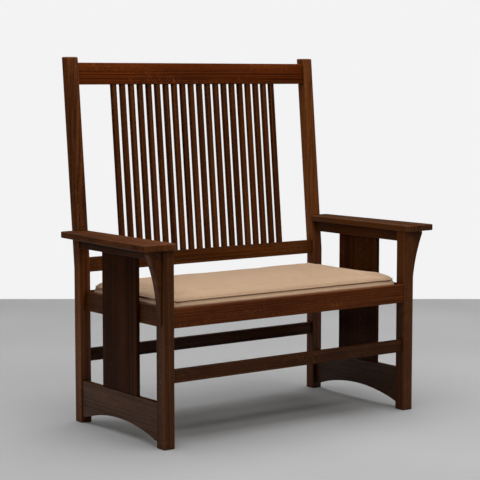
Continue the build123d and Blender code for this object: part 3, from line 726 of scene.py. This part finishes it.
# %% Swell the pad with the cloth solver
SWELL_FRAMES = 20
SWELL_PRESSURE = 4.0
SWELL_QUALITY = 5
SWELL_REACH = 7.0 * MM
RAIL_ROOM = 1.2 * MM
RAIL_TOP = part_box("seat_rail_front")[1].z
FREE_ABOVE = RAIL_TOP - 4.0 * MM
FULLY_FREE = RAIL_TOP + 8.0 * MM


def mesh_values(mesh, what):
    """The points ("co") or the normals ("normal") of a mesh as rows of numbers."""
    flat = np.zeros(len(mesh.vertices) * 3)
    mesh.vertices.foreach_get(what, flat)
    return flat.reshape(-1, 3)


def set_mesh_points(mesh, points):
    mesh.vertices.foreach_set("co", np.asarray(points, dtype=np.float64).ravel())
    mesh.update()


def eased(share):
    """A share between 0 and 1 that starts and ends softly."""
    return share * share * (3 - 2 * share)


def freedom(points):
    """0 where the pad is held, 1 where its cover may move."""
    return eased(np.clip((points[:, 2] - FREE_ABOVE) / (FULLY_FREE - FREE_ABOVE), 0, 1))


def swell(pad):
    """Runs the cloth solver on the pad and keeps its result, within reach of the start."""
    start = mesh_values(pad.data, "co")
    free = freedom(start)
    held = pad.vertex_groups.new(name="held_by_rails")
    for index, share in enumerate(free):
        if share < 1:
            held.add([index], float(1 - share), "REPLACE")
    cloth = pad.modifiers.new("cover", "CLOTH")
    cloth.settings.use_pressure = True
    cloth.settings.uniform_pressure_force = SWELL_PRESSURE
    cloth.settings.effector_weights.gravity = 0.0
    cloth.settings.vertex_group_mass = held.name
    cloth.settings.quality = SWELL_QUALITY
    cloth.point_cache.frame_end = SWELL_FRAMES
    scene = bpy.context.scene
    for step in range(1, SWELL_FRAMES + 1):
        scene.frame_set(step)
    swollen = pad.evaluated_get(bpy.context.evaluated_depsgraph_get())
    moved = mesh_values(swollen.data, "co") - start
    pad.modifiers.remove(cloth)
    scene.frame_set(1)
    length = np.linalg.norm(moved, axis=1, keepdims=True)
    limit = (RAIL_ROOM + (SWELL_REACH - RAIL_ROOM) * free)[:, None]
    kept = limit * np.tanh(length / limit)
    set_mesh_points(pad.data, start + moved * kept / np.maximum(length, TINY))
    pad.vertex_groups.remove(held)
    return float(length.max())


print("the cover wanted to move by", round(swell(seat_pad) / MM, 1), "mm at most")

# %% [markdown]
# ### Puckers along the seam
#
# A seam is never as long as the cloth on both sides of it, so the cloth gathers into small waves
# that run away from the seam and die out within a hand's breadth. Stuffing is never quite even
# either. The solver finds neither of them, because its cloth has no seam and its air is even, so a
# few small, smooth moves along the surface's own direction add them. They are geometry, not bump.

# %% Find the seam
ON_FACE = 0.01 * MM


def seam_ring(low, high):
    """Numbers of the points on the seam, in order round the pad as seen from above."""
    flat = block_shell(low, high, PAD_STEP)[0]
    on_top = flat[:, 2] > high[2] - ON_FACE
    on_side = np.any([abs(flat[:, axis] - end[axis]) < ON_FACE
                      for axis in (0, 1) for end in (low, high)], axis=0)
    ring = np.flatnonzero(on_top & on_side)
    x, y = flat[ring, 0] - (low[0] + high[0]) / 2, flat[ring, 1] - (low[1] + high[1]) / 2
    return ring[np.argsort(np.arctan2(y / (high[1] - low[1]), x / (high[0] - low[0])))]


ring = seam_ring(pad_start_low, pad_start_high)
print("points on the seam:", len(ring))

# %% Add puckers and uneven stuffing
PUCKER_WAVE = 19.0 * MM
PUCKER_LENGTH = 80.0 * MM
PUCKER_REACH = 16.0 * MM
PUCKER_DEPTH = 1.3 * MM
LUMP_WAVE = 95.0 * MM
LUMP_DEPTH = 1.6 * MM
SEAM_GROOVE = 1.6 * MM
SEAM_WIDTH = 6.0 * MM
# far-off places in the noise, so that the patterns have nothing to do with each other
END_NOISE, LUMP_NOISE = 3.0, 7.0


def soft_noise(place, scale):
    """One smooth random value between -1 and 1 for each place."""
    return np.array([noise.noise(Vector(spot)) for spot in place / np.array(scale)])


def pucker(pad, ring, low, high):
    """Moves the free part of the cover along its own direction, and sinks the seam a little."""
    points, normals = mesh_values(pad.data, "co"), mesh_values(pad.data, "normal")
    free = freedom(points)
    inwards = from_edge(points[:, 0], points[:, 1], low, high)
    below = np.maximum(0, points[ring, 2].mean() - points[:, 2])
    away = inwards + below
    across = (high[0] - low[0]) / 2 - abs(points[:, 0] - (low[0] + high[0]) / 2)
    along = (high[1] - low[1]) / 2 - abs(points[:, 1] - (low[1] + high[1]) / 2)
    at_ends = np.clip((along - across) / PUCKER_LENGTH + 0.5, 0, 1)
    waves = (soft_noise(points, (PUCKER_WAVE, PUCKER_LENGTH, PUCKER_LENGTH)) * (1 - at_ends)
             + soft_noise(points + END_NOISE, (PUCKER_LENGTH, PUCKER_WAVE, PUCKER_LENGTH))
             * at_ends)
    lumps = soft_noise(points + LUMP_NOISE, (LUMP_WAVE,) * 3)
    groove = np.exp(-(away / SEAM_WIDTH) ** 2)
    move = (PUCKER_DEPTH * waves * np.exp(-away / PUCKER_REACH)
            + LUMP_DEPTH * lumps * np.clip(inwards / PANEL_REACH, 0, 1) - SEAM_GROOVE * groove)
    set_mesh_points(pad.data, points + normals * (move * free)[:, None])
    return float(abs(move * free).max())


print("largest move in mm:",
      round(pucker(seat_pad, ring, pad_start_low, pad_start_high) / MM, 2))

# %% [markdown]
# ### Under the pad, and its place in the settle
#
# The underside of such a pad is closed with hessian, which is coarse and brown, and it shows
# between the straps from below. Faces that look down get it. One level of subdivision then makes
# the cover smooth at arm's length.

# %% Give the pad its underside
UNDERSIDE_LIMIT = -0.8

seat_pad.data.materials.append(hessian)
for face in seat_pad.data.polygons:
    if face.normal.z < UNDERSIDE_LIMIT:
        face.material_index = 1
smooth_cover = seat_pad.modifiers.new("smooth_cover", "SUBSURF")
smooth_cover.levels = smooth_cover.render_levels = 1
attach(seat_pad, "root")
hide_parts("seat_cushion")
print("faces of hessian:", sum(face.material_index for face in seat_pad.data.polygons))

# %% [markdown]
# ### The welt
#
# A welt is a cord wrapped in a strip of the cover's own cloth and caught in the seam. It hides the
# stitches and takes the wear. It follows the seam's points wherever the swelling has taken them,
# so it is built last, as a thin closed tube round the pad. The tube bends with a slight random
# unevenness, because such a strip is fed into the seam by hand.

# %% Sew in the welt
WELT_RADIUS = 2.7 * MM
WELT_SIDES = 10
WELT_PROUD = 1.2 * MM
WELT_WANDER = 0.35 * MM
WELT_SWELLING = 0.06
WANDER_WAVE = 30.0 * MM
SEAM_SMOOTHINGS = 3


def smooth_ring(path, times):
    """Evens out a closed path: each point moves to the mean of itself and its neighbours."""
    for turn in range(times):
        path = (np.roll(path, 1, axis=0) + 2 * path + np.roll(path, -1, axis=0)) / 4
    return path


def skin(rings, sides, closed=False):
    """Four-sided faces between rings of points that follow each other."""
    faces = []
    for ring in range(rings if closed else rings - 1):
        here, after = ring * sides, (ring + 1) % rings * sides
        for step in range(sides):
            turn = (step + 1) % sides
            faces.append([here + step, here + turn, after + turn, after + step])
    return faces


def closed_tube(path, outwards, radius, sides):
    """Points and faces of a tube round a closed path."""
    ahead = np.roll(path, -1, axis=0) - np.roll(path, 1, axis=0)
    ahead /= np.linalg.norm(ahead, axis=1, keepdims=True)
    side = np.cross(ahead, outwards)
    side /= np.linalg.norm(side, axis=1, keepdims=True)
    out = np.cross(side, ahead)
    angles = [2 * math.pi * step / sides for step in range(sides)]
    points = [path[index] + radius[index] * (math.cos(angle) * out[index]
                                             + math.sin(angle) * side[index])
              for index in range(len(path)) for angle in angles]
    return points, skin(len(path), sides, closed=True)


seam = smooth_ring(mesh_values(seat_pad.data, "co")[ring], SEAM_SMOOTHINGS)
outwards = smooth_ring(mesh_values(seat_pad.data, "normal")[ring], SEAM_SMOOTHINGS)
wander = soft_noise(seam, (WANDER_WAVE,) * 3)
seam = seam + outwards * (WELT_PROUD + WELT_WANDER * wander)[:, None]
welt_points, welt_faces = closed_tube(seam, outwards, WELT_RADIUS * (1 + WELT_SWELLING * wander),
                                      WELT_SIDES)
pad_welt = new_piece("pad_welt", welt_points, welt_faces, cover_cloth)
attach(pad_welt, "root")
print("length of the welt in mm:",
      round(float(np.linalg.norm(np.roll(seam, -1, axis=0) - seam, axis=1).sum()) / MM))

# %% [markdown]
# ## Woven webbing
#
# Jute straps carry the pad. On the real frame the straps from side to side are laid first, and the
# straps from front to back are threaded over and under them. That threading is modelled here,
# because flat strips that only cross would look like paper. A picture of webbing on one sheet would
# be quicker, but from below it would have no edges.
#
# The jute itself is the same weave as the cover's, coarser and browner, with a dark red line near
# each edge. The line is drawn by the distance from the middle of the nearest strap.

# %% Where the straps lie
STRAP_WIDTH = 50.0 * MM
STRAP_THICK = 1.5 * MM
LENGTHWISE_COUNT = 4
CROSSWISE_COUNT = 9

length_low, length_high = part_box("lengthwise_webbing")
cross_low, cross_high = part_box("crosswise_webbing")
rows = np.linspace(length_low.y + STRAP_WIDTH / 2, length_high.y - STRAP_WIDTH / 2,
                   LENGTHWISE_COUNT)
columns = np.linspace(cross_low.x + STRAP_WIDTH / 2, cross_high.x - STRAP_WIDTH / 2,
                      CROSSWISE_COUNT)
layer_low = length_low.z + (cross_low.z - length_low.z) / 2
layer_high = cross_low.z + (cross_high.z - cross_low.z) / 2
print("straps at y", [round(row / MM) for row in rows], "and x",
      [round(column / MM) for column in columns])

# %% The jute
JUTE_PALE = (0.500, 0.365, 0.215)
JUTE_BROWN = (0.360, 0.245, 0.135)
# colour of the painted shade between the jute's threads
JUTE_SHADE = (0.150, 0.092, 0.048)
JUTE_STRIPE = (0.110, 0.028, 0.020)
JUTE_THREAD = 2.2 * MM
JUTE_EDGE, JUTE_TONE = (0.36, 0.64), 0.9
JUTE_GAP_SHADE = (0.35, 0.0, 0.0, 0.8)
JUTE_ROUGHNESS, JUTE_RELIEF, JUTE_GLOSS = (0.80, 0.95), (0.7, 0.8 * MM), 0.2
STRIPE_PLACE, STRIPE_SHOWS = 0.38, 0.85
STRIPE_EDGE = (1.6 * MM, 1.1 * MM)


def jute_material(name, across_axis, middles):
    """Coarse weave with a dark red line near each edge, as such webbing has."""
    made, tree = new_material(name)
    place = cloth_place(tree, JUTE_THREAD)
    threads, yarn = weave(tree, place, JUTE_THREAD), slubs(tree, place)
    jute = blended(tree, fitted(tree, yarn, *JUTE_EDGE), toned(JUTE_BROWN, JUTE_TONE),
                   toned(JUTE_PALE))
    pitch = middles[1] - middles[0]
    apart = split(tree, own_place(tree))[across_axis]
    from_first = maths(tree, "SUBTRACT", apart, middles[0] - pitch / 2)
    turn = maths(tree, "WRAP", from_first, pitch, 0.0)
    off_middle = maths(tree, "ABSOLUTE", maths(tree, "SUBTRACT", turn, pitch / 2))
    off_line = maths(tree, "SUBTRACT", off_middle, STRAP_WIDTH * STRIPE_PLACE)
    line = fitted(tree, maths(tree, "ABSOLUTE", off_line), *STRIPE_EDGE)
    jute = partly(tree, STRIPE_SHOWS, line, jute, toned(JUTE_STRIPE))
    # painted shade: the jute is darker where its threads dip
    jute = blended(tree, fitted(tree, threads, *JUTE_GAP_SHADE), jute, toned(JUTE_SHADE))
    lay_surface(tree, jute, fitted(tree, yarn, *MIDDLE, *JUTE_ROUGHNESS), threads, JUTE_RELIEF,
                {"Specular IOR Level": JUTE_GLOSS})
    return made


print("jute thread in mm:", JUTE_THREAD / MM)

# %% [markdown]
# ### Threading them
#
# Each strap is a thin closed band with a slightly thicker edge, and its height follows a smooth
# wave: high over one strap, low under the next. The wave is flat where two straps cross and turns
# in the gaps between, so the bands lie on each other without cutting through.

# %% Thread the straps over and under
STRAP_LENGTHS = 160
STRAP_WIDTHS = 8
EDGE_THICKNESS, SELVEDGE_THICKNESS = 0.55, 1.12
FLAT_SHARE = 0.42
FAR_END = 10.0


def threaded_height(along, crossings, first_up, end_height):
    """Height of a strap's middle: up and down in turn at the crossings, level at both ends."""
    flat = STRAP_WIDTH * FLAT_SHARE
    edge = crossings[1] - crossings[0] - flat
    stops = [(-FAR_END, end_height), (crossings[0] - edge, end_height)]
    for index, middle in enumerate(crossings):
        height = layer_high if (index + first_up) % 2 else layer_low
        stops += [(middle - flat, height), (middle + flat, height)]
    stops += [(crossings[-1] + edge, end_height), (FAR_END, end_height)]
    spots, heights = zip(*stops)
    step = np.searchsorted(spots, along) - 1
    before, after = np.take(spots, step), np.take(spots, step + 1)
    share = eased((along - before) / (after - before))
    return np.take(heights, step) * (1 - share) + np.take(heights, step + 1) * share


def strap_mesh(start, end, middle, crossings, first_up, end_height, along_x):
    """Points and faces of one closed strap."""
    along = np.linspace(start, end, STRAP_LENGTHS + 1)
    height = threaded_height(along, crossings, first_up, end_height)
    across = np.linspace(-STRAP_WIDTH / 2, STRAP_WIDTH / 2, STRAP_WIDTHS + 1)
    thick = np.full(STRAP_WIDTHS + 1, STRAP_THICK / 2)
    thick[[0, -1]] *= EDGE_THICKNESS
    thick[[1, -2]] *= SELVEDGE_THICKNESS
    points = []
    for spot, level in zip(along, height):
        upper = [(spot, middle + side, level + half) for side, half in zip(across, thick)]
        lower = [(spot, middle + side, level - half) for side, half in zip(across, thick)]
        points += upper + lower[::-1]
    sides = 2 * (STRAP_WIDTHS + 1)
    faces = skin(STRAP_LENGTHS + 1, sides)
    faces.append(list(range(sides))[::-1])
    faces.append(list(range(len(points) - sides, len(points))))
    if along_x:
        faces = [face[::-1] for face in faces]
    else:
        points = [(y, x, z) for x, y, z in points]
    return points, faces


def strap_set(name, node, middles, crossings, end_height, along_x, ends, material):
    """All straps of one direction as one piece that stands for the plain strips."""
    points, faces = [], []
    for index, middle in enumerate(middles):
        first_up = (index + (0 if along_x else 1)) % 2
        more, rings = strap_mesh(*ends, middle, crossings, first_up, end_height, along_x)
        faces += [[len(points) + spot for spot in face] for face in rings]
        points += more
    made = new_piece(name, points, faces, material)
    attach(made, "root")
    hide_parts(node)


strap_set("woven_straps_lengthwise", "lengthwise_webbing", rows, columns, layer_low, True,
          (length_low.x, length_high.x), jute_material("jute_lengthwise", "Y", rows))
strap_set("woven_straps_crosswise", "crosswise_webbing", columns, rows, layer_high, False,
          (cross_low.y, cross_high.y), jute_material("jute_crosswise", "X", columns))
print("straps threaded:", LENGTHWISE_COUNT, "through", CROSSWISE_COUNT)

# %% [markdown]
# ## The room
#
# The settle stands on a pale grey floor in front of a paler wall, with one level line where they
# meet. The floor here is a round sheet with a straight cut behind the settle, which draws that
# line. A real wall would block the view from behind, so a wide pale shell stands round everything
# instead. Only the camera sees the shell: it gives the picture its backdrop and adds no light.

# %% Lay the floor
VIEW_TOWARDS = Vector((0.5973, 0.8020, 0.0))
FLOOR_BEHIND = 2.72
FLOOR_RADIUS = 3.6
FLOOR_POINTS = 120
FLOOR_GREY = (0.424, 0.424, 0.427)
FLOOR_CLOUDS, FLOOR_TONES = (1.2,) * 3, (0.96, 1.04)
FLOOR_SPECKS, SPECKS, SPECK_TONE = (160.0,) * 3, (0.35, 0.65, 0.0, 0.12), 0.8
FLOOR_ROUGHNESS, FLOOR_RELIEF, FLOOR_GLOSS = (0.62, 0.72), (0.1, 0.4 * MM), 0.3


def pale_floor():
    made, tree = new_material("pale_floor")
    here = own_place(tree)
    cloud = cloudy(tree, here, FLOOR_CLOUDS, detail=3.0)
    speck = cloudy(tree, here, FLOOR_SPECKS)
    grey = blended(tree, fitted(tree, cloud, *MIDDLE),
                   *(toned(FLOOR_GREY, tone) for tone in FLOOR_TONES))
    grey = blended(tree, fitted(tree, speck, *SPECKS), grey, toned(FLOOR_GREY, SPECK_TONE))
    lay_surface(tree, grey, fitted(tree, cloud, *MIDDLE, *FLOOR_ROUGHNESS), speck, FLOOR_RELIEF,
                {"Specular IOR Level": FLOOR_GLOSS})
    return made


def floor_outline():
    """A round floor, cut straight where the wall would begin behind the settle."""
    corners = []
    for step in range(FLOOR_POINTS):
        angle = 2 * math.pi * step / FLOOR_POINTS
        way = Vector((math.cos(angle), math.sin(angle), 0.0))
        reach = min(FLOOR_RADIUS, FLOOR_BEHIND / max(way.dot(VIEW_TOWARDS), MM))
        corners.append(way * reach)
    return corners


floor = new_piece("studio_floor", floor_outline(), [list(range(FLOOR_POINTS))], pale_floor())
print("floor ends", FLOOR_BEHIND, "m behind the settle")

# %% Raise the shell
SHELL_RADIUS = 40.0
SHELL_RINGS, SHELL_TURNS = 24, 48
WALL_PALE = (0.895, 0.895, 0.900, 1.0)


def pale_shell():
    made, tree = new_material("pale_backdrop")
    show_surface(tree, add_node(tree, "ShaderNodeEmission", {"Color": WALL_PALE, "Strength": 1.0}))
    return made


def shell_mesh():
    """Points and faces of a large ball, ring by ring from its top."""
    points = []
    for ring in range(SHELL_RINGS + 1):
        down = math.pi * ring / SHELL_RINGS
        for turn in range(SHELL_TURNS):
            around = 2 * math.pi * turn / SHELL_TURNS
            points.append((SHELL_RADIUS * math.sin(down) * math.cos(around),
                           SHELL_RADIUS * math.sin(down) * math.sin(around),
                           SHELL_RADIUS * math.cos(down)))
    return points, skin(SHELL_RINGS + 1, SHELL_TURNS)


shell = new_piece("studio_shell", *shell_mesh(), pale_shell())
shell.visible_diffuse = shell.visible_glossy = shell.visible_shadow = False
shell.visible_transmission = False
print("shell at", SHELL_RADIUS, "m")

# %% [markdown]
# ## The light
#
# The picture has the soft light of a photographer's studio: almost no shadow of a single lamp, only
# a soft dark patch below the seat. That comes from a very broad source overhead. A second soft box,
# above and in front, brightens the faces that look forward, and others to the left and the right
# keep the sides from going black. One behind lights the far floor. The room is nearly dark.

# %% Set the lights
DIM_ROOM = (0.012, 0.012, 0.012, 1.0)
SOFT_BOXES = (
    # name, place, target, width, height, watts
    ("top_box", (-0.3, 0.5, 5.0), (-0.3, 0.5, 0.0), 7.2, 7.2, 350.0),
    ("front_box", (0.2, -2.6, 3.4), (0.0, 0.0, 0.4), 3.0, 2.0, 56.0),
    ("front_left_box", (-4.4, -3.6, 2.6), (0.0, 0.0, 0.6), 2.5, 2.0, 12.5),
    ("left_box", (-5.0, 0.3, 2.2), (0.0, 0.0, 0.6), 2.5, 2.0, 32.0),
    ("right_box", (5.0, 0.3, 2.2), (0.0, 0.0, 0.6), 2.5, 2.0, 58.0),
    ("back_box", (-0.6, 4.4, 3.0), (0.6, 2.4, 0.0), 3.0, 2.0, 16.0),
)


def room_light():
    world = bpy.data.worlds.new("studio_room")
    bpy.context.scene.world = world
    world.use_nodes = True
    tree = world.node_tree
    tree.nodes.clear()
    light = add_node(tree, "ShaderNodeBackground", {"Color": DIM_ROOM, "Strength": 1.0})
    add_node(tree, "ShaderNodeOutputWorld", {"Surface": light.outputs[0]})


def soft_box(name, place, target, width, height, power):
    lamp = bpy.data.lights.new(name, "AREA")
    lamp.shape = "RECTANGLE"
    lamp.size, lamp.size_y, lamp.energy = width, height, power
    made = bpy.data.objects.new(name, lamp)
    bpy.context.scene.collection.objects.link(made)
    made.location = place
    made.rotation_euler = (Vector(target) - Vector(place)).to_track_quat("-Z", "Y").to_euler()


room_light()
for box in SOFT_BOXES:
    soft_box(*box)
bpy.context.scene.view_settings.view_transform = "Standard"
bpy.context.scene.view_settings.look = "None"
print("lights:", sorted(light.name for light in bpy.data.lights))

# %% [markdown]
# ## The camera
#
# The photograph was taken from the front and well to the left of the settle, from about chest
# height and with a long lens, so that upright posts stay nearly parallel. The camera's place and
# lens were found by fitting the outlines of the settle to the picture.

# %% Place the camera
CAMERA_PLACE = (-3.0849, -4.1304, 1.1089)
CAMERA_TILT = math.radians(84.12)
CAMERA_TURN = math.radians(-36.68)
LENS = 118.68
SENSOR = 36.0
SEES_AS_FAR_AS = 200.0

camera_data = bpy.data.cameras.new("camera")
camera_data.lens, camera_data.sensor_width = LENS, SENSOR
camera_data.clip_end = SEES_AS_FAR_AS
camera = bpy.data.objects.new("camera", camera_data)
camera.location = CAMERA_PLACE
camera.rotation_euler = (CAMERA_TILT, 0.0, CAMERA_TURN)
bpy.context.scene.collection.objects.link(camera)
bpy.context.scene.camera = camera
print("camera", round(math.hypot(*CAMERA_PLACE[:2]), 2), "m from the middle of the settle")
